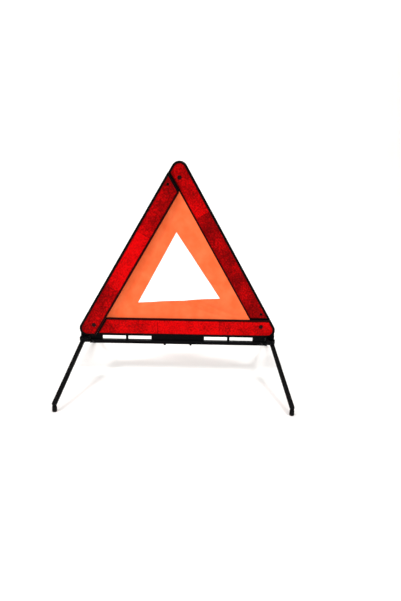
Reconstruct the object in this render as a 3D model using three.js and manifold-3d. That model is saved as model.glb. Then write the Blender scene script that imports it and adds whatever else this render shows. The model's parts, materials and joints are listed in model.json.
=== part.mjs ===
// Folding roadside warning triangle on a four-legged base.
//
// Units are millimetres, +Z up. The origin is on the ground under the middle of the object,
// and the reflective side faces -Y. Three equal arms tile round the triangle: each has a
// rounded cap at one corner and is cut off where it meets the next arm's inner edge. The arms
// lie in three layers, so the two upper ones swing down past the lower one and past each other.

import * as THREE from 'three';
import { mergeVertices } from 'three/addons/utils/BufferGeometryUtils.js';
import Module from 'manifold-3d';

const wasm = await Module();
wasm.setup();

// ---- driving dimensions -------------------------------------------------------------------

const SIDE = 470; // side of the triangle measured to its sharp corners
const ARM_WIDTH = 42;
const ARM_DEPTH = 6.5; // front to back
const CORNER_RADIUS = 18;
const TRIANGLE_Z = 91; // height of the triangle's lower edge above the ground
const LAYER_PITCH = 7.3; // from one arm's layer to the next, front to back
const GAP = 0.3; // clearance between touching pieces
const PAST = 1; // how far a cut reaches past the face it goes through

const OUTER_RIM = 5; // black rims round a lens
const INNER_RIM = 4;
const END_RIM = 2.5;
const SEAT_LEDGE = 2; // ledge the lens is welded to
const LENS_THICKNESS = 2.2;
const LENS_PROUD = 0.3;
const AIR_GAP = 1.8; // behind the lens
const TILE_COUNT = 3; // prism fields along one lens
const TILE_LINE = 0.8;
const PIVOT_INSET = 26.4; // corner pins sit this far from both outer edges
const PIN_RADIUS = 2.4;
const PIN_HEAD_RADIUS = 4.6;
const PIN_HEAD_SPAN = [-0.4, 1.2]; // from the arm's front face
const PIN_RIVET = 1.9; // length behind the tongue, through the washer
const WASHER_RADIUS = 5.4;
const WASHER_THICKNESS = 0.8;
const TONGUE_RADIUS = 12;
const TONGUE_DEPTH = 4.4;
const PEG_RADIUS = 2.9; // peg that locates the lens near the cut end
const PEG_FROM_PIVOT = 354.5;
const PEG_INSET = 12.9;

const LATCH_FROM_PIVOT = 366; // latch stud on the left arm, measured along it
const LATCH_INSET = 5.4; // and from its outer edge
const STUD_RADIUS = 4;
const NOSE_RADIUS = 2;
const NOSE_LENGTH = 1.5;
const NOSE_CLEARANCE = 0.65; // between the nose and the right arm's front face
const EAR_RADIUS = 5;
const EAR_DEPTH = 2.95;

const SHEET_THICKNESS = 1;
const SHEET_TUCK = 6; // hidden behind the left arm
const SHEET_OVERLAP = 1; // over the right arm's rim
const SHEET_SLOT = 2.9; // how deep it sits in the lower arm
const HOLE_LEFT = [-90, 172];
const HOLE_RIGHT = [92, 174];
const HOLE_TOP = [-2, 329];

const RAIL_HALF_LENGTH = 200.5;
const RAIL_HALF_DEPTH = 5.5;
const RAIL_BOTTOM = 73;
const RAIL_TOP = 81;
const RAIL_WALL = 1.5;
const WEB_HALF_DEPTH = 1.5;
const WINDOW_EDGES = [[60.5, 113.1], [118.8, 171.7]];
const TAB_PLACES = [-177, -40, 40, 177];
const TAB_HALF_WIDTH = 4.7;
const TAB_TOP = 99.5;
const TAB_SCREW_Z = 95.5;
const SCREW_RADIUS = 1.5;
const SCREW_HOLE_RADIUS = 1.8;
const SCREW_HOLE_START = 2.2; // from the arm's front face
const SCREW_HEAD_RADIUS = 3;
const SCREW_HEAD_HEIGHT = 1.3;
const SCREW_TIP = -0.6;
const CLIP_X = 29.5;
const CLIP_WIDTH = 5;
const CLIP_WALL = 1.5;
const CLIP_FLOOR = 1.9;
const CLIP_RISE = 3; // height of its sides on the rail

const BLOCK_INNER = 201; // the end blocks span these distances from the middle
const BLOCK_OUTER = 221;
const BLOCK_HALF_DEPTH = 26;
const BLOCK_BOTTOM = 75;
const BLOCK_TOP = 90.4;
const SPIGOT_LENGTH = 15;
const SPIGOT_BOTTOM = 74.5;
const CROSS_PIN_X = 193;
const CROSS_PIN_Z = 76.9;
const CROSS_PIN_HEAD_RADIUS = 2.6;
const CROSS_PIN_HEAD_HEIGHT = 1.2;
const SHOULDER_INNER = 205;
const SHOULDER_HALF_DEPTH = 3.2;
const SHOULDER_RISE = 10; // above the triangle's lower edge

const LEG_PIVOT = new THREE.Vector3(214, 17, 82); // hinge of the leg, in the +X +Y quarter
const LEG_BEND = new THREE.Vector3(232, 205, 16); // where the strap turns down into the foot
const STRAP_WIDTH = 9.5;
const STRAP_THICKNESS = 3.8;
const STRAP_EYE_RADIUS = 6.5;
const GROOVE_WIDTH = 2.4;
const GROOVE_DEPTH = 0.8;
const LEG_PIN_RADIUS = 2;
const LEG_PIN_HEAD = 4;
const LEG_PIN_HEAD_HEIGHT = 1.3;
const LEG_PIN_SEAT = 5; // bottom of the counterbore above the middle of the strap
const GROOVE_SPAN = [22, 14]; // where the groove starts and how far from the bend it ends
const STUB_RADIUS = 3.2; // turned-down end of the strap
const STUB_BOTTOM = 4;
const FOOT_RADIUS = 4.9;
const FOOT_HEIGHT = 11.5;
const FOOT_FACE_RADIUS = 3.6;
const FOOT_EDGE = 1.4; // height of its lower and upper bevels

// ---- finishes -----------------------------------------------------------------------------

const material = (color, roughness) =>
  new THREE.MeshStandardMaterial({ color, roughness, metalness: 0 });
const BLACK_PLASTIC = material(0x141416, 0.5);
const BLACK_LEG = material(0x0e0e10, 0.35);
const RED_LENS = material(0xd8060f, 0.2);
const ORANGE_SHEET = material(0xff7548, 0.75);
const BLACK_RUBBER = material(0x101010, 0.8);
const DARK_PIN = material(0x2a0505, 0.45);
const STEEL = new THREE.MeshStandardMaterial({ color: 0x8d9093, roughness: 0.4, metalness: 1 });

// ---- solids -------------------------------------------------------------------------------

const object = new THREE.Group();

function solid(geometry) {
  geometry.deleteAttribute('normal');
  geometry.deleteAttribute('uv');
  const merged = mergeVertices(geometry, 1e-4);
  return new wasm.Manifold(new wasm.Mesh({
    numProp: 3,
    vertProperties: merged.attributes.position.array,
    triVerts: new Uint32Array(merged.index.array),
  }));
}

function addPiece(name, body, finish, group = object) {
  const result = body.getMesh();
  const geometry = new THREE.BufferGeometry();
  geometry.setAttribute('position', new THREE.BufferAttribute(result.vertProperties, 3));
  geometry.setIndex(new THREE.BufferAttribute(result.triVerts, 1));
  geometry.computeVertexNormals();
  const mesh = new THREE.Mesh(geometry, finish);
  mesh.name = name;
  group.add(mesh);
}

// A flat outline given thickness from z = low to z = high, then moved by a matrix.
function plate(outline, low, high, matrix = null) {
  const geometry = new THREE.ExtrudeGeometry(outline, {
    depth: high - low, bevelEnabled: false, curveSegments: 8,
  });
  geometry.translate(0, 0, low);
  if (matrix) geometry.applyMatrix4(matrix);
  return solid(geometry);
}

const outlineOf = (points) => new THREE.Shape(points.map(([x, y]) => new THREE.Vector2(x, y)));

const SMALL_SIDES = 14; // facets round a small cylinder; a large one has twice as many
const LARGE_RADIUS = 8;

function disc(x, y, radius, low, high, matrix = null) {
  const sides = radius < LARGE_RADIUS ? SMALL_SIDES : SMALL_SIDES * 2;
  const geometry = new THREE.CylinderGeometry(radius, radius, high - low, sides);
  geometry.rotateX(Math.PI / 2);
  geometry.translate(x, y, (low + high) / 2);
  if (matrix) geometry.applyMatrix4(matrix);
  return solid(geometry);
}

function box([x0, x1], [y0, y1], [z0, z1], matrix = null) {
  const geometry = new THREE.BoxGeometry(x1 - x0, y1 - y0, z1 - z0);
  geometry.translate((x0 + x1) / 2, (y0 + y1) / 2, (z0 + z1) / 2);
  if (matrix) geometry.applyMatrix4(matrix);
  return solid(geometry);
}

const basis = (x, y, z, origin) => new THREE.Matrix4().makeBasis(x, y, z).setPosition(origin);
const X = new THREE.Vector3(1, 0, 0);
const Y = new THREE.Vector3(0, 1, 0);
const Z = new THREE.Vector3(0, 0, 1);
const ORIGIN = new THREE.Vector3();
const ALONG_X = basis(Y, Z, X, ORIGIN); // an outline in Y and Z, extruded along X
const ALONG_Y = basis(Z, X, Y, ORIGIN); // an outline in Z and X, extruded along Y

// ---- the three arms -----------------------------------------------------------------------
// In an arm's own frame the sharp corner of its cap is the origin, x runs along the outer edge,
// y goes inwards across the arm, and z goes from its front face (z = 0) to its back.

const TAN60 = Math.sqrt(3);
const CUT_END = SIDE - ARM_WIDTH * 2 / TAN60; // where the cut meets the outer edge
const PIVOT_X = PIVOT_INSET * TAN60;
const PEG_X = PIVOT_X + PEG_FROM_PIVOT;
const NEXT_PIVOT_X = SIDE - PIVOT_X;
const cutAt = (y) => CUT_END - y / TAN60;

// The arm's outline drawn in by a rim: one width along both outer edges, one along the inner
// edge and one along the cut end. The cap's corner is an arc.
function armOutline(outer, inner, end) {
  const slope = 2 / TAN60; // an inset across a 60 degree edge, measured along x
  const radius = CORNER_RADIUS - outer;
  const cornerX = outer / TAN60 + outer * slope;
  const top = ARM_WIDTH - inner;
  const outline = new THREE.Shape();
  outline.moveTo(cornerX + radius * TAN60, outer);
  outline.lineTo(cutAt(outer) - end * slope, outer);
  outline.lineTo(cutAt(top) - end * slope, top);
  outline.lineTo(top / TAN60 + outer * slope, top);
  outline.absarc(cornerX + radius * TAN60, outer + radius, radius,
    Math.PI * 5 / 6, Math.PI * 3 / 2, false);
  return outline;
}

const SEAT_DEPTH = LENS_THICKNESS - LENS_PROUD + GAP;
const FLOOR_DEPTH = SEAT_DEPTH + AIR_GAP;

const pinHole = (depth, x = PIVOT_X) =>
  disc(x, PIVOT_INSET, PIN_RADIUS + GAP, -PAST, depth + PAST);

function armFrame(withPeg) {
  const ledge = (rim) => rim + SEAT_LEDGE;
  let frame = plate(armOutline(0, 0, 0), 0, ARM_DEPTH);
  frame = frame.subtract(plate(armOutline(OUTER_RIM, INNER_RIM, END_RIM), -PAST, SEAT_DEPTH));
  const cavity = armOutline(ledge(OUTER_RIM), ledge(INNER_RIM), ledge(END_RIM));
  frame = frame.subtract(plate(cavity, -PAST, FLOOR_DEPTH));
  if (withPeg) {
    frame = frame.add(disc(PEG_X, PEG_INSET, PEG_RADIUS, 0, FLOOR_DEPTH + PAST));
  }
  return frame.subtract(pinHole(ARM_DEPTH));
}

// The tongue that goes behind the next arm's cap and turns on its corner pin.
function tongue() {
  const low = PIVOT_INSET - TONGUE_RADIUS;
  const high = PIVOT_INSET + TONGUE_RADIUS;
  const neck = outlineOf([
    [cutAt(low) - END_RIM / 2, low], [NEXT_PIVOT_X, low],
    [NEXT_PIVOT_X, high], [cutAt(high) - END_RIM / 2, high],
  ]);
  return plate(neck, 0, TONGUE_DEPTH)
    .add(disc(NEXT_PIVOT_X, PIVOT_INSET, TONGUE_RADIUS, 0, TONGUE_DEPTH))
    .subtract(pinHole(TONGUE_DEPTH, NEXT_PIVOT_X));
}

function lens(withPeg) {
  const rim = (width) => width + GAP;
  const front = -LENS_PROUD;
  const back = front + LENS_THICKNESS;
  const through = [front - PAST, back + PAST];
  const outline = armOutline(rim(OUTER_RIM), rim(INNER_RIM), rim(END_RIM));
  let body = plate(outline, front, back);
  body = body.subtract(disc(PIVOT_X, PIVOT_INSET, PIN_HEAD_RADIUS + GAP, ...through));
  if (withPeg) {
    body = body.subtract(disc(PEG_X, PEG_INSET, PEG_RADIUS + GAP, ...through));
  }
  for (let tile = 1; tile < TILE_COUNT; tile += 1) {
    const x = CUT_END * tile / TILE_COUNT;
    const line = [x - TILE_LINE / 2, x + TILE_LINE / 2];
    body = body.subtract(box(line, [0, ARM_WIDTH], [front - PAST, front + TILE_LINE / 2]));
  }
  return body;
}

// A corner pin: a flat head in the lens's hole and a shank that ends behind the washer.
function cornerPin(shankEnd) {
  const head = disc(PIVOT_X, PIVOT_INSET, PIN_HEAD_RADIUS, ...PIN_HEAD_SPAN);
  return head.add(disc(PIVOT_X, PIVOT_INSET, PIN_RADIUS, 0, shankEnd));
}

function washer(low) {
  const high = low + WASHER_THICKNESS;
  return disc(PIVOT_X, PIVOT_INSET, WASHER_RADIUS, low, high).subtract(pinHole(high));
}

const halfSide = SIDE / 2;
const triangleHeight = halfSide * TAN60;
const frontOf = (layer) => layer * LAYER_PITCH - ARM_DEPTH / 2;
const ARMS = {
  bottom: { corner: [halfSide, 0], along: [-1, 0], layer: 0 },
  left: { corner: [-halfSide, 0], along: [0.5, TAN60 / 2], layer: -1 },
  right: { corner: [0, triangleHeight], along: [0.5, -TAN60 / 2], layer: 1 },
};

function armGroup({ corner, along, layer }) {
  const lengthwise = new THREE.Vector3(along[0], 0, along[1]);
  const inwards = new THREE.Vector3().crossVectors(Y, lengthwise);
  const group = new THREE.Group();
  group.quaternion.setFromRotationMatrix(new THREE.Matrix4().makeBasis(lengthwise, inwards, Y));
  group.position.set(corner[0], frontOf(layer), TRIANGLE_Z + corner[1]);
  object.add(group);
  return group;
}

const bottomArm = armGroup(ARMS.bottom);
let bottomFrame = armFrame(false).add(tongue());
const slotHeight = [ARM_WIDTH - SHEET_SLOT - GAP, ARM_WIDTH + PAST];
const slotDepth = [-1, 1].map((side) => ARM_DEPTH / 2 + side * (SHEET_THICKNESS / 2 + GAP));
bottomFrame = bottomFrame.subtract(box([0, SIDE], slotHeight, slotDepth));
for (const place of TAB_PLACES) {
  const hole = disc(halfSide - place, TAB_SCREW_Z - TRIANGLE_Z, SCREW_HOLE_RADIUS,
    SCREW_HOLE_START, ARM_DEPTH + PAST);
  bottomFrame = bottomFrame.subtract(hole);
}
addPiece('bottom_arm_frame', bottomFrame, BLACK_PLASTIC, bottomArm);
addPiece('bottom_reflector', lens(false), RED_LENS, bottomArm);

// A pin goes through its own cap and through the tongue one layer behind it.
const washerFront = LAYER_PITCH + TONGUE_DEPTH + GAP;
const pinEnd = washerFront + PIN_RIVET;
addPiece('right_arm_pin', cornerPin(pinEnd), DARK_PIN, bottomArm);
addPiece('right_arm_washer', washer(washerFront), STEEL, bottomArm);

const leftArm = armGroup(ARMS.left);
addPiece('left_arm_frame', armFrame(true), BLACK_PLASTIC, leftArm);
addPiece('left_reflector', lens(true), RED_LENS, leftArm);
addPiece('left_arm_pin', cornerPin(pinEnd), DARK_PIN, leftArm);
addPiece('left_arm_washer', washer(washerFront), STEEL, leftArm);

// The stud on the back of the left arm stands in the middle layer, and its nose points at the
// socket in the right arm's ear. It lies so near the outer edge that it clears the lower arm.
const studX = PIVOT_X + LATCH_FROM_PIVOT;
const studFront = ARM_DEPTH + GAP;
const studBack = LAYER_PITCH * 2 - NOSE_CLEARANCE;
const stud = disc(studX, LATCH_INSET, STUD_RADIUS, studFront, studBack - NOSE_LENGTH)
  .add(disc(studX, LATCH_INSET, NOSE_RADIUS, studFront, studBack));
addPiece('latch_stud', stud, BLACK_PLASTIC, leftArm);

const rightArm = armGroup(ARMS.right);
leftArm.updateMatrixWorld(true);
rightArm.updateMatrixWorld(true);
const ear = rightArm.worldToLocal(
  leftArm.localToWorld(new THREE.Vector3(studX, LATCH_INSET, 0)));
const earSpan = [ear.x - EAR_RADIUS, ear.x + EAR_RADIUS];
const rightFrame = armFrame(true).add(tongue())
  .add(disc(ear.x, ear.y, EAR_RADIUS, 0, EAR_DEPTH))
  .add(box(earSpan, [ARM_WIDTH - PAST, ear.y], [0, EAR_DEPTH]))
  .subtract(disc(ear.x, ear.y, NOSE_RADIUS + GAP, -PAST, EAR_DEPTH + PAST));
addPiece('right_arm_frame', rightFrame, BLACK_PLASTIC, rightArm);
addPiece('right_reflector', lens(true), RED_LENS, rightArm);
addPiece('apex_pin', cornerPin(ARM_DEPTH + GAP + PAST), DARK_PIN, rightArm);

// ---- the fluorescent sheet ----------------------------------------------------------------

const innerLeft = -halfSide + ARM_WIDTH * TAN60;
const innerBottom = TRIANGLE_Z + ARM_WIDTH;
const innerTop = TRIANGLE_Z + triangleHeight - ARM_WIDTH * 2;
const sheetBottom = innerBottom - SHEET_SLOT;
const tuckX = SHEET_TUCK * 2 / TAN60;
const overlapX = SHEET_OVERLAP * 2 / TAN60;
const sheetTop = innerTop + (tuckX + overlapX) * TAN60 / 2;
const sheetOutline = outlineOf([
  [innerLeft + GAP, sheetBottom], [-innerLeft - GAP, sheetBottom],
  [-innerLeft + overlapX, innerBottom + GAP], [(overlapX - tuckX) / 2, sheetTop],
  [innerLeft - tuckX, innerBottom + GAP], [innerLeft + GAP, innerBottom + GAP],
]);
sheetOutline.holes.push(new THREE.Path([HOLE_LEFT, HOLE_TOP, HOLE_RIGHT]
  .map(([x, z]) => new THREE.Vector2(x, z))));
const FACING = basis(X, Z, Y.clone().negate(), ORIGIN); // an outline in X and Z, seen from -Y
const sheet = plate(sheetOutline, -SHEET_THICKNESS / 2, SHEET_THICKNESS / 2, FACING);
addPiece('fluorescent_sheet', sheet, ORANGE_SHEET);

// ---- the base rail ------------------------------------------------------------------------

const wall = RAIL_HALF_DEPTH - RAIL_WALL;
const ceiling = RAIL_TOP - RAIL_WALL - GAP;
const railProfile = outlineOf([
  [-wall, RAIL_BOTTOM], [-wall, ceiling], [wall, ceiling], [wall, RAIL_BOTTOM],
  [RAIL_HALF_DEPTH, RAIL_BOTTOM], [RAIL_HALF_DEPTH, RAIL_TOP], [WEB_HALF_DEPTH, RAIL_TOP],
  [WEB_HALF_DEPTH, TRIANGLE_Z - GAP], [-WEB_HALF_DEPTH, TRIANGLE_Z - GAP],
  [-WEB_HALF_DEPTH, RAIL_TOP], [-RAIL_HALF_DEPTH, RAIL_TOP], [-RAIL_HALF_DEPTH, RAIL_BOTTOM],
]);
let rail = plate(railProfile, -RAIL_HALF_LENGTH, RAIL_HALF_LENGTH, ALONG_X);
for (const [near, far] of WINDOW_EDGES) {
  for (const edges of [[near, far], [-far, -near]]) {
    rail = rail.subtract(box(edges, [-wall, wall], [RAIL_TOP, TRIANGLE_Z + PAST]));
  }
}
const tabFront = ARM_DEPTH / 2 + GAP;
for (const place of TAB_PLACES) {
  const width = [place - TAB_HALF_WIDTH, place + TAB_HALF_WIDTH];
  const hole = [tabFront - PAST, RAIL_HALF_DEPTH + PAST];
  rail = rail
    .add(box(width, [tabFront, RAIL_HALF_DEPTH], [RAIL_TOP - PAST, TAB_TOP]))
    .subtract(disc(TAB_SCREW_Z, place, SCREW_HOLE_RADIUS, ...hole, ALONG_Y));
}
const acrossRail = [-RAIL_HALF_DEPTH - PAST, RAIL_HALF_DEPTH + PAST];
const crossPinHole = (side) =>
  disc(CROSS_PIN_Z, side * CROSS_PIN_X, SCREW_HOLE_RADIUS, ...acrossRail, ALONG_Y);
addPiece('base_rail', rail.subtract(crossPinHole(-1)).subtract(crossPinHole(1)), BLACK_PLASTIC);

const railFace = RAIL_HALF_DEPTH + GAP;
TAB_PLACES.forEach((place, index) => {
  const head = [railFace, railFace + SCREW_HEAD_HEIGHT];
  const screw = disc(TAB_SCREW_Z, place, SCREW_HEAD_RADIUS, ...head, ALONG_Y)
    .add(disc(TAB_SCREW_Z, place, SCREW_RADIUS, SCREW_TIP, railFace + PAST, ALONG_Y));
  addPiece(`base_screw_${index + 1}`, screw, STEEL);
});

// ---- end blocks, clips and legs -----------------------------------------------------------

const QUARTERS = [
  ['front_left', -1, -1], ['front_right', 1, -1], ['rear_left', -1, 1], ['rear_right', 1, 1],
];

// A leg's own frame: x along the strap, z up and square to the plane that it swings in.
function legFrame(sideX, sideY) {
  const pivot = LEG_PIVOT.clone().multiply(new THREE.Vector3(sideX, sideY, 1));
  const bend = LEG_BEND.clone().multiply(new THREE.Vector3(sideX, sideY, 1));
  const along = bend.clone().sub(pivot);
  const length = along.length();
  along.normalize();
  const up = new THREE.Vector3(0, -along.y * along.z, along.y * along.y).normalize();
  const matrix = basis(along, new THREE.Vector3().crossVectors(up, along), up, pivot);
  const square = basis(X, new THREE.Vector3().crossVectors(up, X), up, pivot);
  return { matrix, square, bend, length };
}

// A span measured outwards from the middle, on one side of it.
const sideSpan = (side, near, far) => (side > 0 ? [near, far] : [-far, -near]);

function endBlock(side) {
  const span = sideSpan(side, BLOCK_INNER, BLOCK_OUTER);
  const middle = (span[0] + span[1]) / 2;
  const radius = (BLOCK_OUTER - BLOCK_INNER) / 2;
  const reach = BLOCK_HALF_DEPTH - radius;
  let block = box(span, [-reach, reach], [BLOCK_BOTTOM, BLOCK_TOP])
    .add(disc(middle, reach, radius, BLOCK_BOTTOM, BLOCK_TOP))
    .add(disc(middle, -reach, radius, BLOCK_BOTTOM, BLOCK_TOP));
  // The strap swings under a sloped lug, and its pin's head sits in a counterbore on top.
  const clear = BLOCK_OUTER - BLOCK_INNER; // takes a cut right out of the block
  for (const sideY of [-1, 1]) {
    const { square } = legFrame(side, sideY);
    const outwards = sideSpan(sideY, -STRAP_EYE_RADIUS - PAST, clear);
    block = block
      .subtract(box([-clear, clear], outwards, [-clear, STRAP_THICKNESS / 2 + GAP], square))
      .subtract(disc(0, 0, LEG_PIN_RADIUS + GAP, 0, clear, square))
      .subtract(disc(0, 0, LEG_PIN_HEAD + GAP, LEG_PIN_SEAT, clear, square));
  }
  // The spigot goes into the end of the rail.
  const spigot = sideSpan(side, BLOCK_INNER - SPIGOT_LENGTH, BLOCK_INNER + radius);
  const snug = wall - GAP;
  block = block.add(box(spigot, [-snug, snug], [SPIGOT_BOTTOM, ceiling - GAP]));
  // A shoulder fills the corner outside the cap's rounding.
  const depth = [-SHOULDER_HALF_DEPTH, SHOULDER_HALF_DEPTH];
  const height = [BLOCK_TOP - PAST, TRIANGLE_Z + SHOULDER_RISE];
  const arcX = side * (halfSide - CORNER_RADIUS * TAN60);
  const arcZ = TRIANGLE_Z + CORNER_RADIUS;
  const shoulder = box(sideSpan(side, SHOULDER_INNER, BLOCK_OUTER), depth, height)
    .subtract(disc(arcZ, arcX, CORNER_RADIUS + GAP, ...acrossRail, ALONG_Y));
  return block.add(shoulder).subtract(crossPinHole(side));
}

for (const [name, side] of [['left', -1], ['right', 1]]) {
  addPiece(`${name}_end_block`, endBlock(side), BLACK_PLASTIC);

  const place = side * CROSS_PIN_X;
  const headFace = railFace + CROSS_PIN_HEAD_HEIGHT;
  const crossPin = disc(CROSS_PIN_Z, place, SCREW_RADIUS, -headFace, headFace, ALONG_Y)
    .add(disc(CROSS_PIN_Z, place, CROSS_PIN_HEAD_RADIUS, -headFace, -railFace, ALONG_Y))
    .add(disc(CROSS_PIN_Z, place, CROSS_PIN_HEAD_RADIUS, railFace, headFace, ALONG_Y));
  addPiece(`${name}_block_pin`, crossPin, STEEL);

  const inside = RAIL_BOTTOM - GAP;
  const low = inside - CLIP_FLOOR;
  const high = RAIL_BOTTOM + CLIP_RISE;
  const outer = railFace + CLIP_WALL;
  const clipProfile = outlineOf([
    [-outer, low], [outer, low], [outer, high], [railFace, high],
    [railFace, inside], [-railFace, inside], [-railFace, high], [-outer, high],
  ]);
  const clipSpan = [side * CLIP_X - CLIP_WIDTH / 2, side * CLIP_X + CLIP_WIDTH / 2];
  addPiece(`${name}_rail_clip`, plate(clipProfile, ...clipSpan, ALONG_X), BLACK_PLASTIC);
}

const FOOT_SIDES = 20;
function foot(bend) {
  const profile = [
    [0, 0], [FOOT_FACE_RADIUS, 0], [FOOT_RADIUS, FOOT_EDGE],
    [FOOT_RADIUS, FOOT_HEIGHT - FOOT_EDGE], [STUB_RADIUS + 1, FOOT_HEIGHT], [0, FOOT_HEIGHT],
  ].map(([radius, z]) => new THREE.Vector2(radius, z));
  const geometry = new THREE.LatheGeometry(profile, FOOT_SIDES);
  geometry.rotateX(Math.PI / 2);
  geometry.translate(bend.x, bend.y, 0);
  const socket = [STUB_BOTTOM - GAP, FOOT_HEIGHT + PAST];
  return solid(geometry).subtract(disc(bend.x, bend.y, STUB_RADIUS + GAP, ...socket));
}

for (const [name, sideX, sideY] of QUARTERS) {
  const { matrix, square, bend, length } = legFrame(sideX, sideY);
  const half = STRAP_THICKNESS / 2;
  const edge = STRAP_WIDTH / 2;
  const leg = box([0, length], [-edge, edge], [-half, half], matrix)
    .add(disc(0, 0, STRAP_EYE_RADIUS, -half, half, matrix))
    .add(disc(length, 0, edge, -half, half, matrix))
    .add(disc(bend.x, bend.y, STUB_RADIUS, STUB_BOTTOM, bend.z))
    .subtract(disc(0, 0, LEG_PIN_RADIUS + GAP, -half - PAST, half + PAST, matrix))
    .subtract(box([GROOVE_SPAN[0], length - GROOVE_SPAN[1]],
      [-GROOVE_WIDTH / 2, GROOVE_WIDTH / 2], [half - GROOVE_DEPTH, half + PAST], matrix));
  addPiece(`${name}_leg`, leg, BLACK_LEG);
  addPiece(`${name}_foot`, foot(bend), BLACK_RUBBER);
  const under = -half - GAP;
  const over = LEG_PIN_SEAT + GAP;
  const pin = disc(0, 0, LEG_PIN_RADIUS, under - PAST, over + PAST, square)
    .add(disc(0, 0, LEG_PIN_HEAD, under - LEG_PIN_HEAD_HEIGHT, under, square))
    .add(disc(0, 0, LEG_PIN_HEAD, over, over + LEG_PIN_HEAD_HEIGHT, square));
  addPiece(`${name}_leg_pin`, pin, STEEL);
}

export default object;
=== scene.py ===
"""Folding roadside warning triangle on a four-legged base.

Everything is in metres, +Z up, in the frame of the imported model. The reflective side faces -Y.
"""

import functools
import json
import math
import random

import bmesh
import bpy
from mathutils import Matrix, Vector

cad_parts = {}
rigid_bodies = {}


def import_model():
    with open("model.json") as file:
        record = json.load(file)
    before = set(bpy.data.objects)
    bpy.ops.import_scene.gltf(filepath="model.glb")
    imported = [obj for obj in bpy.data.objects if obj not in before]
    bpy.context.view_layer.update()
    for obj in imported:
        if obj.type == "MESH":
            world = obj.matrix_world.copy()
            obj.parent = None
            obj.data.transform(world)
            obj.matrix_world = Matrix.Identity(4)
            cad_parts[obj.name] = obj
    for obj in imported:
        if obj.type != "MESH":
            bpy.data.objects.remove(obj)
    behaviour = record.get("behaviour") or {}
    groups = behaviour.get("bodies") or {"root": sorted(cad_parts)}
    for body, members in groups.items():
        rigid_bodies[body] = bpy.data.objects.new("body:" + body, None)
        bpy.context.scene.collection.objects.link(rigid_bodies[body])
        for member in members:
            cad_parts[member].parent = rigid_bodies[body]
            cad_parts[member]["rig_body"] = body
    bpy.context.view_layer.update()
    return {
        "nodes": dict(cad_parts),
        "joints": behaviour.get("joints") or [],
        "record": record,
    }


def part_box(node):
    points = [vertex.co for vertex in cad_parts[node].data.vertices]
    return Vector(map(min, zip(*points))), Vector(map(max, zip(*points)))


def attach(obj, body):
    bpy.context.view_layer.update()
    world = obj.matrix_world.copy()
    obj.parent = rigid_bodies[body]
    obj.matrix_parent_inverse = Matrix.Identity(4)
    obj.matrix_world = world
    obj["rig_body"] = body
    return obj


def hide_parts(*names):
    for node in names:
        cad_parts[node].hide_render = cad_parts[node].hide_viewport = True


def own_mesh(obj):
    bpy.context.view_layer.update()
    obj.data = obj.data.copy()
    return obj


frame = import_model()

bl_info = {
    "name": "Warning Triangle",
    "version": (1, 0, 0),
    "blender": (4, 5, 0),
    "location": "View3D > Sidebar > Triangle",
    "description": "Builds a folding roadside warning triangle piece by piece",
    "category": "Add Mesh",
}

MM = 0.001
ROOT3 = math.sqrt(3)
CLEARANCE = 0.3 * MM  # between touching pieces
PAST = 1 * MM  # how far a cutting tool reaches past the face it cuts
CAP_STEPS = 20  # straight stretches round an arm's cap
ROUND_STEPS = 40  # stretches round a turned piece
CORNER_STEPS = 6  # stretches round a tab's corner
GROOVE_STEPS = 8  # stretches round a groove's end
ARMS = ("bottom", "left", "right")
SIDES = ("left", "right")
ENDS = ("front", "rear")
SCREWS = range(1, 5)  # the lower arm's screws are numbered so


# ---- sizes and colours that a user would change --------------------------------------------


def length(name, description, default):
    return bpy.props.FloatProperty(
        name=name, description=description, default=default * MM,
        min=0, precision=5, subtype="DISTANCE", unit="LENGTH",
    )


def colour(name, description, default):
    return bpy.props.StringProperty(name=name, description=description, default=default)


class TRIANGLE_ArmSizes(bpy.types.PropertyGroup):
    """Sizes of the three reflector arms"""

    width: length("Width", "Across an arm", 42)
    depth: length("Depth", "Front to back of a tray", 6.5)
    corner_radius: length("Corner radius", "Rounding of the cap", 18)
    outer_rim: length("Outer rim", "Black border along the outer edge", 5)
    inner_rim: length("Inner rim", "Black border along the inner edge", 4)
    end_rim: length("End rim", "Black border along the cut end", 2.5)
    ledge: length("Ledge", "Step that the lens is welded to", 2)
    seat_depth: length("Seat depth", "Front of the tray to the ledge", 2.2)
    floor_depth: length("Floor depth", "Front of the tray to its floor", 4)
    lens_thickness: length("Lens thickness", "Without the part that stands proud", 1.9)
    lens_proud: length("Lens proud", "How far the lens stands out of its tray", 0.3)
    pin_inset: length("Pin inset", "Corner rivet to both outer edges", 26.4)
    pin_hole: length("Pin hole", "Radius of the rivet's hole", 2.7)
    head_hole: length("Head hole", "Radius of the hole in the lens", 4.9)
    peg_radius: length("Peg radius", "Peg that locates the lens near the cut end", 2.9)
    peg_reach: length("Peg reach", "Corner rivet to peg, along the arm", 354.5)
    peg_inset: length("Peg inset", "Peg to the outer edge", 12.9)
    tongue_radius: length("Tongue radius", "Round end behind the next arm's cap", 12)
    tongue_depth: length("Tongue depth", "Thickness of the tongue", 4.4)
    ear_radius: length("Ear radius", "Latch ear on the right tray", 5)
    ear_depth: length("Ear depth", "Thickness of the latch ear", 2.95)
    slot_depth: length("Sheet slot", "Slot in the lower tray that holds the sheet", 3.2)
    slot_width: length("Slot width", "Front to back of that slot", 1.6)
    lip_reach: length("End lip", "Lip behind the cut end that closes the joint", 3.4)
    pocket_depth: length("Pocket depth", "Moulded pockets in the back of a tray", 1.1)
    pocket_gap: length("Pocket gap", "Kept back from each of a pocket's corners", 3.2)
    prism_pitch: length("Prism pitch", "Side of one prism facet in the lens", 1.9)
    prism_step: length("Prism step", "Height between the prisms' three levels", 0.15)
    field_line: length("Field line", "Groove between two prism fields", 0.8)
    edge_round: length("Edge round", "Rounding of the moulded edges", 0.35)


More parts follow.
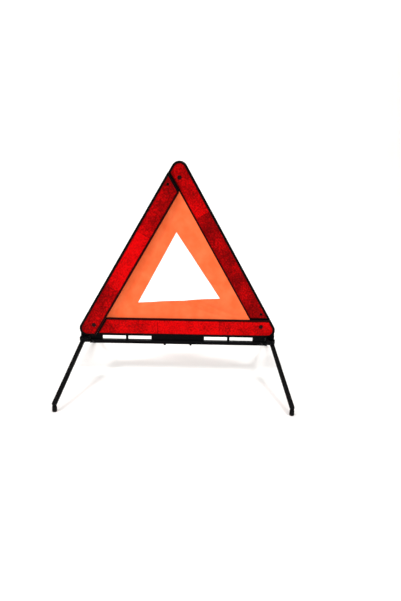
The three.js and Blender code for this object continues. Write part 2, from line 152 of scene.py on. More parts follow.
class TRIANGLE_SheetSizes(bpy.types.PropertyGroup):
    """Sizes of the fluorescent sheet"""

    thickness: length("Thickness", "Coated fabric", 0.5)
    tuck: length("Tuck", "Hidden behind the left arm", 6)
    overlap: length("Overlap", "Laid on the right arm's rim", 1)
    wave: length("Wave", "Depth of the slack along the window's edges", 1.5)
    lean: length("Lean", "How far the right edge leans back against the right arm", 3.3)
    crease: length("Crease", "Depth of the creases in the lower strip", 1.8)
    thread: length("Thread pitch", "From one thread to the next", 0.9)


class TRIANGLE_BaseSizes(bpy.types.PropertyGroup):
    """Sizes of the rail, its brackets and the legs"""

    wall: length("Wall", "Thickness of the rail's channel", 1.5)
    ledge_height: length("Channel height", "Top of the channel above its open side", 8)
    web: length("Web", "Thickness of the rail's web", 3)
    screw_hole: length("Screw hole", "Radius of a screw's hole", 1.8)
    strap_width: length("Strap width", "Across a leg", 9.5)
    strap_depth: length("Strap depth", "Thickness of a leg", 3.8)
    eye_radius: length("Eye radius", "Round end at the leg's rivet", 6.5)
    groove_width: length("Groove width", "Pressed groove along a leg", 2.4)
    groove_depth: length("Groove depth", "Pressed groove along a leg", 0.8)
    bend_height: length("Bend height", "Where the strap turns down, above the ground", 16)
    stub_radius: length("Stub radius", "Turned-down end of a leg", 3.2)
    lug_seat: length("Lug seat", "Bottom of the rivet's counterbore above the strap", 5)
    lug_hole: length("Lug hole", "Radius of the leg rivet's hole", 2.3)
    lug_counterbore: length("Counterbore", "Radius round the leg rivet's head", 4.3)


class TRIANGLE_Colours(bpy.types.PropertyGroup):
    """Colours of the finishes, as sRGB hex values"""

    lens_bright: colour("Lens bright", "Prisms that send light back", "#E60609")
    lens_deep: colour("Lens deep", "Prisms turned away from the light", "#6E0305")
    lens_lip: colour("Lens lip", "Red lip over the black tray", "#260103")
    tray: colour("Tray", "Moulded trays", "#060506")
    base: colour("Base", "Rail, brackets and clips", "#060608")
    sheet: colour("Sheet", "Fluorescent fabric", "#FF7644")
    sheet_shade: colour("Sheet shade", "The same fabric in its folds", "#F4622F")
    leg: colour("Leg", "Baked enamel", "#060607")
    rivet: colour("Rivet", "Rivets at the corners", "#240406")
    zinc: colour("Zinc", "Plated screws, rivets and washers", "#B9BBBD")
    phosphate: colour("Phosphate", "Blackened rivets of the brackets", "#2A2A2C")
    rubber: colour("Rubber", "Tips of the legs", "#0D0D0D")
    floor: colour("Floor", "Matt floor and backdrop", "#F7F7F6")


class TRIANGLE_CameraSettings(bpy.types.PropertyGroup):
    """The camera"""

    lens: bpy.props.FloatProperty(
        name="Lens", description="Focal length on a 36 mm sensor", default=31.44, unit="CAMERA")
    place: bpy.props.FloatVectorProperty(
        name="Place", description="Camera's position", default=(0.0391, -1.1456, 0.4724),
        subtype="TRANSLATION", unit="LENGTH")
    pitch: bpy.props.FloatProperty(
        name="Pitch", description="Below the horizon", default=math.radians(14.498),
        subtype="ANGLE")
    yaw: bpy.props.FloatProperty(
        name="Yaw", description="Towards +X", default=math.radians(0.568), subtype="ANGLE")
    roll: bpy.props.FloatProperty(
        name="Roll", description="Clockwise tilt of the camera's top", subtype="ANGLE",
        default=math.radians(1.191))


# ---- places taken from the frame -----------------------------------------------------------


def joint(name):
    return next(j for j in frame["joints"] if j["name"] == name)


def middle(node):
    low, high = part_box(node)
    return (low + high) / 2


def lower_edge():
    """Height of the triangle's lower edge."""
    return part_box("bottom_arm_frame")[0].z


def axes(x, y, z, origin):
    """A frame with those axes and that origin."""
    place = Matrix((x, y, z)).transposed().to_4x4()
    place.translation = origin
    return place


def facing_back(origin=(0, 0, 0)):
    """A frame with x to the right, y down and z to the back."""
    return Matrix.Translation(origin) @ Matrix.Rotation(-math.pi / 2, 4, "X")


def triangle_side():
    """From one sharp corner of the whole triangle to the next."""
    arm = bpy.context.scene.arm_sizes
    reach = 2 * ROOT3 * arm.pin_inset
    return joint("right_arm_fold")["pos_m"][0] - joint("left_arm_fold")["pos_m"][0] + reach


def arm_place(name):
    """An arm's own frame: x along its outer edge from the cap's sharp corner, y inwards across
    it, and z from its front face to its back."""
    arm = bpy.context.scene.arm_sizes
    low, high = (Vector(joint(f"{side}_arm_fold")["pos_m"]) for side in SIDES)
    reach = Vector((ROOT3 * arm.pin_inset, 0, arm.pin_inset))
    left = low - reach
    right = high + Vector((reach.x, 0, -reach.z))
    apex = (left + right) / 2 + Vector((0, 0, triangle_side() * ROOT3 / 2))
    start, end = {"bottom": (right, left), "left": (left, apex), "right": (apex, right)}[name]
    along = (end - start).normalized()
    back = Vector((0, 1, 0))
    start = Vector((start.x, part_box(f"{name}_arm_frame")[0].y, start.z))
    return axes(along, back.cross(along), back, start)


def arm_points():
    """Where the rivet, the next arm's rivet, the peg and the cut end lie along an arm."""
    arm = bpy.context.scene.arm_sizes
    pin = arm.pin_inset * ROOT3
    return {
        "pin": pin,
        "next_pin": triangle_side() - pin,
        "peg": pin + arm.peg_reach,
        "cut": triangle_side() - arm.width * 2 / ROOT3,
    }


def rivet_place(quarter):
    """A leg rivet's frame: x along the rail, and z square to the plane that the leg swings in."""
    swing = joint(f"{quarter}_leg_swing")
    up = Vector(swing["axis"])
    up = (up if up.z > 0 else -up).normalized()
    right = Vector((1, 0, 0))
    return axes(right, up.cross(right), up, swing["pos_m"])


def bend_point(quarter):
    """Where a leg's strap turns down to its foot."""
    foot = middle(f"{quarter}_foot")
    return Vector((foot.x, foot.y, bpy.context.scene.base_sizes.bend_height))


def strap_place(quarter):
    """A leg's frame: x along its strap, and z as at its rivet."""
    rivet = rivet_place(quarter)
    up = rivet.col[2].to_3d()
    along = (bend_point(quarter) - rivet.translation).normalized()
    return axes(along, up.cross(along), up, rivet.translation)


# ---- mesh helpers --------------------------------------------------------------------------


def to_object(name, mesh_in_work):
    mesh = bpy.data.meshes.new(name)
    mesh_in_work.to_mesh(mesh)
    mesh_in_work.free()
    made = bpy.data.objects.new(name, mesh)
    bpy.context.scene.collection.objects.link(made)
    return made


def skins(name, solids, place=None):
    """Closed solids in one mesh. A solid's skin runs from ring to ring, each a list of as many
    points."""
    work = bmesh.new()
    for rings in solids:
        loops = [[work.verts.new(point) for point in ring] for ring in rings]
        for near, far in zip(loops, loops[1:]):
            for i, (a, b) in enumerate(zip(near, far)):
                work.faces.new((a, near[i - 1], far[i - 1], b))
        work.faces.new(loops[0])
        work.faces.new(loops[-1])
    bmesh.ops.recalc_face_normals(work, faces=work.faces)
    if place:
        work.transform(place)
    return to_object(name, work)


def skin(name, rings, place=None):
    return skins(name, [rings], place)


def lift(outline, height):
    return [(x, y, height) for x, y in outline]


def slab(name, outline, low, high, place=None):
    return skin(name, [lift(outline, low), lift(outline, high)], place)


def block(name, low, high, place=None):
    (x0, y0, z0), (x1, y1, z1) = low, high
    return slab(name, [(x0, y0), (x1, y0), (x1, y1), (x0, y1)], z0, z1, place)


def arc(centre, radius, start, end, steps):
    """Points along an arc, with its angles in degrees."""
    angles = [math.radians(start + (end - start) * i / steps) for i in range(steps + 1)]
    return [(centre[0] + radius * math.cos(a), centre[1] + radius * math.sin(a)) for a in angles]


def rod(name, centre, radius, low, high, place=None):
    circle = arc(centre, radius, 0, 360, ROUND_STEPS)[:-1]
    return slab(name, circle, low, high, place)


def settle(piece):
    """Replaces a piece's mesh by what its modifiers make of it."""
    evaluated = piece.evaluated_get(bpy.context.evaluated_depsgraph_get())
    old = piece.data
    piece.data = bpy.data.meshes.new_from_object(evaluated)
    piece.modifiers.clear()
    bpy.data.meshes.remove(old)
    piece.data.name = piece.name


def combine(piece, operation, tools):
    """Cuts, joins or trims a piece with the tools, which are then removed."""
    for tool in tools:
        step = piece.modifiers.new("combine", "BOOLEAN")
        step.operation = operation
        step.solver = "EXACT"
        step.object = tool
        settle(piece)
        mesh = tool.data
        bpy.data.objects.remove(tool)
        bpy.data.meshes.remove(mesh)
    return piece


def cut(piece, *tools):
    return combine(piece, "DIFFERENCE", tools)


def join(piece, *tools):
    return combine(piece, "UNION", tools)


def bore(piece, centre, radius, low, high, place=None):
    """Drills a hole right through, between two faces at those heights."""
    return cut(piece, rod("hole", centre, radius, low - PAST, high + PAST, place))


def turned(name, profile, place=None):
    """A turned piece. The profile is (radius, height) in millimetres, from top to bottom."""
    work = bmesh.new()
    line = [work.verts.new((radius * MM, 0, height * MM)) for radius, height in profile]
    for pair in zip(line, line[1:]):
        work.edges.new(pair)
    made = to_object(name, work)
    lathe = made.modifiers.new("turn", "SCREW")
    lathe.steps = lathe.render_steps = ROUND_STEPS
    lathe.use_merge_vertices = True
    lathe.merge_threshold = 0.001 * MM
    settle(made)
    if place:
        made.data.transform(place)
    return made


def soften(piece, width, segments):
    """Gives the piece's sharp edges a small live rounding."""
    for face in piece.data.polygons:
        face.use_smooth = True
    rounding = piece.modifiers.new("rounding", "BEVEL")
    rounding.width = width
    rounding.segments = segments
    rounding.limit_method = "ANGLE"
    rounding.angle_limit = math.radians(35)
    rounding.use_clamp_overlap = False
    rounding.harden_normals = True


def fit(piece, node, material_and_slot, rounding=0, segments=2):
    """Lets a piece stand for a CAD node, in its finish, on the node's own body."""
    if rounding:
        soften(piece, rounding, segments)
    material, slot = material_and_slot
    piece.data.materials.clear()
    piece.data.materials.append(material)
    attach(piece, frame["nodes"][node]["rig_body"])
    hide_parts(node)


# ---- finishes ------------------------------------------------------------------------------

BAND_PERIOD = 0.314  # of a band pattern whose scale is 1


def linear(hex_colour):
    """An sRGB hex value as linear red, green, blue and alpha."""
    parts = [int(hex_colour[i:i + 2], 16) / 255 for i in (1, 3, 5)]
    return [p / 12.92 if p <= 0.04045 else ((p + 0.055) / 1.055) ** 2.4 for p in parts] + [1]


def scaled(colour, factor, lift_by=0):
    return [factor * part + lift_by for part in colour[:3]] + [1]


def set_up(node, details):
    """Sets a shader node's inputs, each to a value or another node's output, and its settings.
    Underscores stand for spaces."""
    sockets = {socket.identifier.replace(" ", "_"): socket for socket in node.inputs}
    for name, value in details.items():
        if name not in sockets:
            setattr(node, name, value)
        elif isinstance(value, bpy.types.NodeSocket):
            node.id_data.links.new(value, sockets[name])
        else:
            sockets[name].default_value = value


def add_node(tree, kind, result, **details):
    """Adds a shader node and gives the output of that name."""
    made = tree.nodes.new("ShaderNode" + kind)
    set_up(made, details)
    return next(output for output in made.outputs if output.identifier == result)


def finish(slot):
    """Turns a function that works out a surface into one that gives its material, made once and
    named as the function is, and its slot. The function gets the colours, a way to add nodes and
    the piece's own coordinates."""
    def wrap(surface):
        def give():
            material = bpy.data.materials.get(surface.__name__)
            if not material:
                material = bpy.data.materials.new(surface.__name__)
                material.use_nodes = True
                tree = material.node_tree
                add = functools.partial(add_node, tree)
                where = add("TexCoord", "Object")
                details = surface(bpy.context.scene.finish_colours, add, where)
                set_up(tree.nodes["Principled BSDF"], details)
            return material, slot
        return give
    return wrap


def patches(add, where, size, low=0, high=1, start=0.3, end=0.7, **noise):
    """Soft patches of about that size, from low to high. Nearly all of a noise's own values lie
    between 0.3 and 0.7."""
    value = add("TexNoise", "Fac", Vector=where, Scale=1 / size, **noise)
    return add("MapRange", "Result", Value=value, From_Min=start, From_Max=end, To_Min=low,
               To_Max=high)


def grain(add, where, size, depth, **noise):
    """The relief of a grain of that size and depth."""
    height = add("TexNoise", "Fac", Vector=where, Scale=1 / size, **noise)
    return add("Bump", "Normal", Height=height, Distance=depth)


@finish("red_lens")
def red_acrylic_prism_lens(colours, add, where):
    """Red acrylic (PMMA), injection moulded over a field of corner prisms. Each prism facet
    catches the light by itself; that glitter is painted into the red as painted reflection, from
    bright to deep, in drifts."""
    facet = add("Attribute", "Fac", attribute_name="facet_tone")
    # painted reflection: each facet's glint, with random drifts, blends deep red into bright red
    glint = facet
    for size, detail in ((35 * MM, 2), (4 * MM, 1)):
        drift = patches(add, where, size, -0.3, 0.3, Detail=detail)
        glint = add("Math", "Value", operation="ADD", Value=glint, Value_001=drift)
    red = add("Mix", "Result_Color", data_type="RGBA", Factor_Float=glint,
              A_Color=linear(colours.lens_deep), B_Color=linear(colours.lens_bright))
    gloss = add("MapRange", "Result", Value=facet, To_Min=0.34, To_Max=0.14)
    return dict(IOR=1.49, Specular_IOR_Level=0.02, Base_Color=red, Roughness=gloss)


@finish("red_lens")
def red_acrylic_lip_over_black(colours, add, where):
    """The lens's thin red lip over the black rim: the black shows through as dark maroon."""
    return dict(IOR=1.49, Specular_IOR_Level=0.05, Base_Color=linear(colours.lens_lip),
                Roughness=0.4, Normal=grain(add, where, 1.2 * MM, 0.04 * MM))


@finish("black_plastic")
def black_abs_moulded(colours, add, where):
    """Black ABS, injection moulded in a spark-eroded mould: an even, very fine matt grain, with
    faint lighter scuffs where it has been handled."""
    black = linear(colours.tray)
    scuffs = patches(add, where, 18 * MM, start=0.55, end=0.75, Detail=5, Roughness=0.7)
    worn = add("Mix", "Result_Color", data_type="RGBA", Factor_Float=scuffs,
               A_Color=black, B_Color=scaled(black, 2.2))
    gloss = add("MapRange", "Result", Value=scuffs, To_Min=0.46, To_Max=0.62)
    return dict(IOR=1.54, Specular_IOR_Level=0.04, Base_Color=worn, Roughness=gloss,
                Normal=grain(add, where, 0.5 * MM, 0.03 * MM, Detail=1))


@finish("black_plastic")
def black_glass_filled_nylon(colours, add, where):
    """Black glass-filled nylon (PA6), injection moulded: fibres near the skin leave it slightly
    mottled and streaked along the flow."""
    black = linear(colours.base)
    along_flow = add("Mapping", "Vector", Vector=where, Scale=(0.12, 1, 1))
    streaks = add("TexNoise", "Fac", Vector=along_flow, Scale=1 / (3 * MM), Detail=3)
    share = add("MapRange", "Result", Value=streaks, From_Min=0.45, From_Max=0.75, To_Max=0.8)
    mottled = add("Mix", "Result_Color", data_type="RGBA", Factor_Float=share,
                  A_Color=black, B_Color=scaled(black, 2))
    gloss = add("MapRange", "Result", Value=streaks, From_Min=0.3, From_Max=0.7, To_Min=0.4,
                To_Max=0.58)
    relief = add("Bump", "Normal", Height=streaks, Distance=0.05 * MM)
    return dict(IOR=1.53, Specular_IOR_Level=0.04, Base_Color=mottled, Roughness=gloss,
                Normal=relief)


@finish("black_enamel")
def black_baked_enamel(colours, add, where):
    """Black baked enamel on pressed steel: glossy, with the soft orange peel of a sprayed coat."""
    return dict(IOR=1.5, Specular_IOR_Level=0.03, Base_Color=linear(colours.leg),
                Roughness=patches(add, where, 20 * MM, 0.3, 0.46),
                Normal=grain(add, where, 1.6 * MM, 0.05 * MM, Detail=1))


@finish("dark_pin")
def dark_acetal_rivet(colours, add, where):
    """Dark red-brown acetal (POM), turned: a smooth, waxy half gloss."""
    return dict(IOR=1.48, Specular_IOR_Level=0.1, Base_Color=linear(colours.rivet),
                Roughness=0.38, Normal=grain(add, where, 0.8 * MM, 0.02 * MM))


@finish("steel")
def zinc_plated_steel(colours, add, where):
    """Mild steel with bright zinc plating: a cool grey metal with a faint cloudy bloom."""
    zinc = linear(colours.zinc)
    warm = [zinc[0] * 0.82, zinc[1] * 0.8, zinc[2] * 0.74, 1]
    bloom = patches(add, where, 2.5 * MM, Detail=3)
    clouded = add("Mix", "Result_Color", data_type="RGBA", Factor_Float=bloom,
                  A_Color=zinc, B_Color=warm)
    gloss = add("MapRange", "Result", Value=bloom, To_Min=0.27, To_Max=0.46)
    return dict(Metallic=1, Base_Color=clouded, Roughness=gloss)


@finish("steel")
def black_phosphated_steel(colours, add, where):
    """Mild steel with a black phosphate and oil finish: nearly black, with a dull satin sheen."""
    dark = linear(colours.phosphate)
    crystals = patches(add, where, 1.5 * MM, Detail=3)
    mottled = add("Mix", "Result_Color", data_type="RGBA", Factor_Float=crystals,
                  A_Color=dark, B_Color=scaled(dark, 1.6))
    return dict(Metallic=1, Base_Color=mottled, Roughness=0.5)


@finish("black_rubber")
def black_epdm_rubber(colours, add, where):
    """Black EPDM rubber, moulded: dull, with pale road dust towards the ground."""
    black = linear(colours.rubber)
    height = add("SeparateXYZ", "Z", Vector=where)
    near_ground = add("MapRange", "Result", Value=height, From_Max=6 * MM, To_Min=1, To_Max=0)
    specks = patches(add, where, 2 * MM, start=0.4, Detail=4)
    dust = add("Math", "Value", operation="MULTIPLY", Value=near_ground, Value_001=specks)
    dusty = add("Mix", "Result_Color", data_type="RGBA", Factor_Float=dust,
                A_Color=black, B_Color=scaled(black, 4, 0.01))
    return dict(IOR=1.5, Specular_IOR_Level=0.1, Base_Color=dusty, Roughness=0.8,
                Normal=grain(add, where, 0.6 * MM, 0.06 * MM))


@finish("orange_fabric")
def fluorescent_coated_polyester(colours, add, where):
    """Plain-woven polyester with a fluorescent PVC coating: matt, with the threads showing as a
    fine grid. The dye turns blue light into orange, which a weak painted glow stands for. The
    threads are drawn at about twice their real pitch, so that they show."""
    bright = linear(colours.sheet)
    scale = BAND_PERIOD / bpy.context.scene.sheet_sizes.thread
    warp, weft = (add("TexWave", "Fac", bands_direction=direction, Vector=where, Scale=scale,
                      Distortion=0.6, Detail=1) for direction in "XZ")
    weave = add("Math", "Value", operation="ADD", Value=warp, Value_001=weft)
    # painted shade: soft clouds, and the threads' grid a little, blend the orange towards
    # sheet_shade, a shaded copy of it
    clouds = patches(add, where, 30 * MM, Detail=3)
    threads = add("MapRange", "Result", Value=weave, From_Max=2, To_Max=0.25)
    share = add("Math", "Value", operation="ADD", Value=clouds, Value_001=threads)
    orange = add("Mix", "Result_Color", data_type="RGBA", Factor_Float=share,
                 A_Color=bright, B_Color=linear(colours.sheet_shade))
    relief = add("Bump", "Normal", Height=weave, Distance=0.05 * MM, Strength=0.6)
    # painted glow: a weak emission in the sheet's bright orange
    return dict(IOR=1.5, Specular_IOR_Level=0.15, Base_Color=orange, Roughness=0.7,
                Sheen_Weight=0.05, Sheen_Roughness=0.5, Emission_Color=bright,
                Emission_Strength=0.12, Normal=relief)


@finish(None)
def matt_white_paint(colours, add, where):
    """Matt white studio paint, with a very faint unevenness."""
    white = linear(colours.floor)
    shade = patches(add, where, 400 * MM)
    uneven = add("Mix", "Result_Color", data_type="RGBA", Factor_Float=shade,
                 A_Color=white, B_Color=scaled(white, 0.97))
    return dict(Specular_IOR_Level=0.1, Base_Color=uneven, Roughness=0.95)


# ---- arms ----------------------------------------------------------------------------------

POCKETS = 11  # along an arm's back
PAINTED_FIELD_GLINTS = {  # painted reflection: light sent back at the start and end of an arm's three prism fields, from its cap
    "bottom": ((0.5, 0.62), (0.8, 0.76), (0.66, 0.5)),
    "left": ((0.16, 0.36), (0.66, 0.8), (0.5, 0.0)),
    "right": ((0.16, 0.62), (0.12, 0.1), (0.2, 0.12)),
}
FACET_SPREAD = 0.16  # of the facets' painted glints, by chance
FACET_SWING = 0.3  # of the facets' painted glints, by the way that they face: a painted highlight
LIGHT_TURN = -0.4  # the direction that the facets with the brightest painted highlight face, in radians
LENS_BORDER = 1.1 * MM  # plain edge round the prisms
LENS_CHAMFER = 0.25 * MM


def arm_outline(outer=0.0, inner=0.0, end=0.0):
    """An arm's outline drawn in by its rims, in the arm's own frame."""
    arm = bpy.context.scene.arm_sizes
    slope = 2 / ROOT3  # an inset across a 60 degree edge, measured along x
    radius = arm.corner_radius - outer
    centre = (outer / ROOT3 + outer * slope + radius * ROOT3, outer + radius)
    top = arm.width - inner
    cut_end = arm_points()["cut"] - end * slope
    straight = [
        (cut_end - outer / ROOT3, outer),
        (cut_end - top / ROOT3, top),
        (top / ROOT3 + outer * slope, top),
    ]
    return straight + arc(centre, radius, 150, 270, CAP_STEPS)


def tongue(place):
    """The tongue that goes behind the next arm's cap and turns on its rivet."""
    arm = bpy.context.scene.arm_sizes
    points = arm_points()
    low, high = arm.pin_inset - arm.tongue_radius, arm.pin_inset + arm.tongue_radius
    centre = (points["next_pin"], arm.pin_inset)
    root = [(points["cut"] - y / ROOT3 - arm.end_rim / 2, y) for y in (high, low)]
    outline = root + arc(centre, arm.tongue_radius, -90, 90, CAP_STEPS)
    made = slab("tongue", outline, 0, arm.tongue_depth, place)
    return bore(made, centre, arm.pin_hole, 0, arm.tongue_depth, place)


def end_lip(place):
    """A lip along the back of the cut end, which closes the joint with the next arm."""
    arm = bpy.context.scene.arm_sizes
    cut_end = arm_points()["cut"]
    inset = 2.6 * arm.edge_round  # so that both roundings fit
    low, high = inset, arm.width - inset
    corners = ((-PAST, low), (arm.lip_reach, low), (arm.lip_reach, high), (-PAST, high))
    outline = [(cut_end - y / ROOT3 + x, y) for x, y in corners]
    front, back = arm.depth * 0.62, arm.depth - CLEARANCE
    return slab("lip", outline, front, back, place)


def back_pockets(place):
    """A row of triangular pockets with ribs between them, which keeps a moulding flat."""
    arm = bpy.context.scene.arm_sizes
    first, last = arm.width * 1.9, arm_points()["cut"] - arm.width * 1.25
    low, high = arm.width * 0.29, arm.width * 0.86
    step = (last - first) / POCKETS
    half = step - arm.pocket_gap
    pockets = []
    for i in range(POCKETS):
        base, tip = (low, high) if i % 2 else (high, low)
        tip += math.copysign(arm.pocket_gap, base - tip)
        x = first + step * i
        corners = [(x - half, base), (x + half, base), (x, tip)]
        heights = (arm.depth - arm.pocket_depth, arm.depth + PAST)
        pockets.append([lift(corners, height) for height in heights])
    return skins("pockets", pockets, place)


def tray(name):
    """A moulded tray: rims, a ledge for the lens, a floor, and ribs on its back."""
    arm = bpy.context.scene.arm_sizes
    place, points = arm_place(name), arm_points()
    rims = [arm.outer_rim, arm.inner_rim, arm.end_rim]
    edge = arm_outline()
    seat = arm_outline(*rims)
    cavity = arm_outline(*[rim + arm.ledge for rim in rims])
    made = skin(f"{name}_arm_tray", [
        lift(edge, arm.depth), lift(edge, 0), lift(seat, 0), lift(seat, arm.seat_depth),
        lift(cavity, arm.seat_depth), lift(cavity, arm.floor_depth),
    ], place)
    bore(made, (points["pin"], arm.pin_inset), arm.pin_hole, 0, arm.depth, place)
    cut(made, back_pockets(place))
    if name != "left":
        join(made, tongue(place))
    if name != "bottom":
        join(made, end_lip(place))
        peg = (points["peg"], arm.peg_inset)
        join(made, rod("peg", peg, arm.peg_radius, 0, arm.floor_depth + PAST, place))
    return made


def cut_sheet_slot(lower_tray):
    arm = bpy.context.scene.arm_sizes
    low = (0, arm.width - arm.slot_depth, arm.depth / 2 - arm.slot_width / 2)
    high = (triangle_side(), arm.width + PAST, arm.depth / 2 + arm.slot_width / 2)
    cut(lower_tray, block("slot", low, high, arm_place("bottom")))


def cut_screw_holes(lower_tray):
    arm, base = bpy.context.scene.arm_sizes, bpy.context.scene.base_sizes
    place = arm_place("bottom")
    for index in SCREWS:
        x, y, _ = place.inverted() @ middle(f"base_screw_{index}")
        hole = rod("hole", (x, y), base.screw_hole, arm.depth / 3, arm.depth + PAST, place)
        cut(lower_tray, hole)


def add_latch_ear(right_tray):
    """The ear with the socket that the left arm's stud snaps into."""
    arm = bpy.context.scene.arm_sizes
    place = arm_place("right")
    x, y, _ = place.inverted() @ middle("latch_stud")
    root = arm.width - PAST
    outline = [(x - arm.ear_radius, root), (x + arm.ear_radius, root)]
    outline += arc((x, y), arm.ear_radius, 0, 180, CAP_STEPS)
    ear = slab("ear", outline, 0, arm.ear_depth, place)
    socket_radius = 2 * MM + CLEARANCE
    join(right_tray, bore(ear, (x, y), socket_radius, 0, arm.ear_depth, place))


def paint_inner_rim(piece, name):
    """Gives the front of the inner rim the lens lip's finish, as a second material."""
    arm = bpy.context.scene.arm_sizes
    to_arm = arm_place(name).inverted()
    piece.data.materials.append(red_acrylic_lip_over_black()[0])
    for face in piece.data.polygons:
        centre = to_arm @ face.center
        if abs(centre.z) < CLEARANCE / 3 and centre.y > arm.width - arm.inner_rim:
            face.material_index = 1


class TRIANGLE_OT_trays(bpy.types.Operator):
    """Makes the three moulded trays that hold the lenses"""

    bl_idname = "triangle.trays"
    bl_label = "Arm Trays"

    def execute(self, context):
        for name in ARMS:
            made = tray(name)
            if name == "bottom":
                cut_sheet_slot(made)
                cut_screw_holes(made)
            if name == "right":
                add_latch_ear(made)
            fit(made, f"{name}_arm_frame", black_abs_moulded(),
                rounding=context.scene.arm_sizes.edge_round)
            paint_inner_rim(made, name)
        return {"FINISHED"}


def prism_rows(work, size):
    """Rows of points on a triangular grid over a rectangle. They lie at three levels in turn, so
    that its triangles pair up into the square faces of cubes."""
    arm = bpy.context.scene.arm_sizes
    pitch = arm.prism_pitch
    row_height = pitch * ROOT3 / 2
    rows = math.ceil(size[1] / row_height) + 2
    columns = math.ceil(size[0] / pitch) + 3
    grid = []
    for j in range(rows):
        shift = (j % 2) / 2 - 1
        levels = [(i - j // 2 - j) % 3 for i in range(columns)]
        grid.append([
            work.verts.new(((i + shift) * pitch, (j - 0.5) * row_height, level * arm.prism_step))
            for i, level in enumerate(levels)
        ])
    return grid


def prism_surface(name, size, field_glints, seed):
    """A sheet of corner prisms over a rectangle, facing -Z, with a painted glint for each facet."""
    chance = random.Random(seed)
    work = bmesh.new()
    glint = work.faces.layers.float.new("facet_tone")
    grid = prism_rows(work, size)
    for j, (near, far) in enumerate(zip(grid, grid[1:])):
        for i in range(len(near) - 1):
            if j % 2:
                corners = ((near[i], near[i + 1], far[i + 1]), (near[i], far[i + 1], far[i]))
            else:
                corners = ((near[i], near[i + 1], far[i]), (near[i + 1], far[i + 1], far[i]))
            for corner in corners:
                face = work.faces.new(corner)
                # painted reflection: each prism field's glint runs from its start value to its end
                # value
                along = face.calc_center_median().x / size[0] * len(field_glints)
                along = max(0, min(len(field_glints) - 0.001, along))
                start, end = field_glints[int(along)]
                face[glint] = start + (end - start) * (along % 1)
                face[glint] += chance.uniform(-FACET_SPREAD, FACET_SPREAD)
    for face in work.faces:
        face.normal_update()
        if face.normal.z > 0:
            face.normal_flip()
        # painted highlight: facets that face towards LIGHT_TURN get a brighter glint
        turn = math.atan2(face.normal.y, face.normal.x) - LIGHT_TURN
        face[glint] += FACET_SWING * math.cos(turn)
    return to_object(name, work)


def lens_relief(name, seed, front, floor, back, rims):
    """A lens's fields of prisms, with a groove between each two."""
    arm = bpy.context.scene.arm_sizes
    long = arm_points()["cut"]
    prisms = prism_surface("prisms", (long, arm.width), PAINTED_FIELD_GLINTS[name], seed)
    prisms.data.transform(Matrix.Translation((0, 0, front)))
    thicken = prisms.modifiers.new("thicken", "SOLIDIFY")
    thicken.thickness = back - front - LENS_CHAMFER
    settle(prisms)
    field = slab("field", arm_outline(*rims), front - PAST, floor + LENS_CHAMFER)
    combine(prisms, "INTERSECT", [field])
    for index in (1, 2):
        x = long * index / 3
        low = (x - arm.field_line / 2, 0, front - PAST)
        high = (x + arm.field_line / 2, arm.width, floor - LENS_CHAMFER / 2)
        cut(prisms, block("line", low, high))
    return prisms


def lens(name, seed):
    """A lens: a plate with a chamfered rim, covered by fields of small prisms."""
    arm = bpy.context.scene.arm_sizes
    points = arm_points()
    rims = [rim + CLEARANCE for rim in (arm.outer_rim, arm.inner_rim, arm.end_rim)]
    front, back = -arm.lens_proud, arm.lens_thickness
    floor = front + 2.6 * arm.prism_step  # behind the prisms' deepest points
    edge = arm_outline(*rims)
    plate = skin(f"{name}_arm_lens", [
        lift(edge, back), lift(edge, floor + LENS_CHAMFER),
        lift(arm_outline(*[rim + LENS_CHAMFER for rim in rims]), floor),
    ])
    field_rims = [rim + LENS_BORDER for rim in rims]
    join(plate, lens_relief(name, seed, front, floor, back, field_rims))
    bore(plate, (points["pin"], arm.pin_inset), arm.head_hole, front, back)
    if name != "bottom":
        peg = (points["peg"], arm.peg_inset)
        bore(plate, peg, arm.peg_radius + CLEARANCE, front, back)
    plate.data.transform(arm_place(name))
    return plate


class TRIANGLE_OT_lenses(bpy.types.Operator):
    """Makes the three red prismatic lenses"""

    bl_idname = "triangle.lenses"
    bl_label = "Prism Lenses"

    def execute(self, context):
        for seed, name in enumerate(ARMS):
            fit(lens(name, seed), f"{name}_reflector", red_acrylic_prism_lens())
        return {"FINISHED"}


# ---- rivets, washers and the latch ---------------------------------------------------------


def corner_rivet(node, arm_name):
    """A rivet through an arm's cap, with a domed head on the front."""
    place = arm_place(arm_name)
    at_hole = Matrix.Translation((arm_points()["pin"], bpy.context.scene.arm_sizes.pin_inset, 0))
    end = (place.translation.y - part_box(node)[1].y) / MM
    return turned(node.replace("pin", "rivet"), [
        (0, 0.1), (1.1, 0.1), (1.5, 0.4), (3.7, 0.4), (4.3, 0.15), (4.6, -0.4), (4.6, -1.2),
        (2.4, -1.2), (2.4, end + 0.4), (2.0, end), (0, end),
    ], place @ at_hole @ Matrix.Rotation(math.pi, 4, "X"))


def corner_washer(side):
    low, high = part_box(f"{side}_arm_washer")
    x, _, z = joint(f"{side}_arm_fold")["pos_m"]
    top = (high.y - low.y) / MM
    return turned(f"{side}_corner_washer", [
        (2.7, top), (5.1, top), (5.4, top - 0.25), (5.4, 0), (2.7, 0), (2.7, top),
    ], facing_back((x, low.y, z)))


def latch_stud():
    """A stud with a waist that the ear's socket snaps round."""
    low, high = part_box("latch_stud")
    centre = middle("latch_stud")
    tall = (high.y - low.y) / MM
    return turned("latch_snap_stud", [
        (0, tall), (1.3, tall), (2, tall - 0.6), (1.8, tall - 1.5), (3.4, tall - 1.5),
        (4, tall - 2), (4, 0), (0, 0),
    ], facing_back((centre.x, low.y, centre.z)))


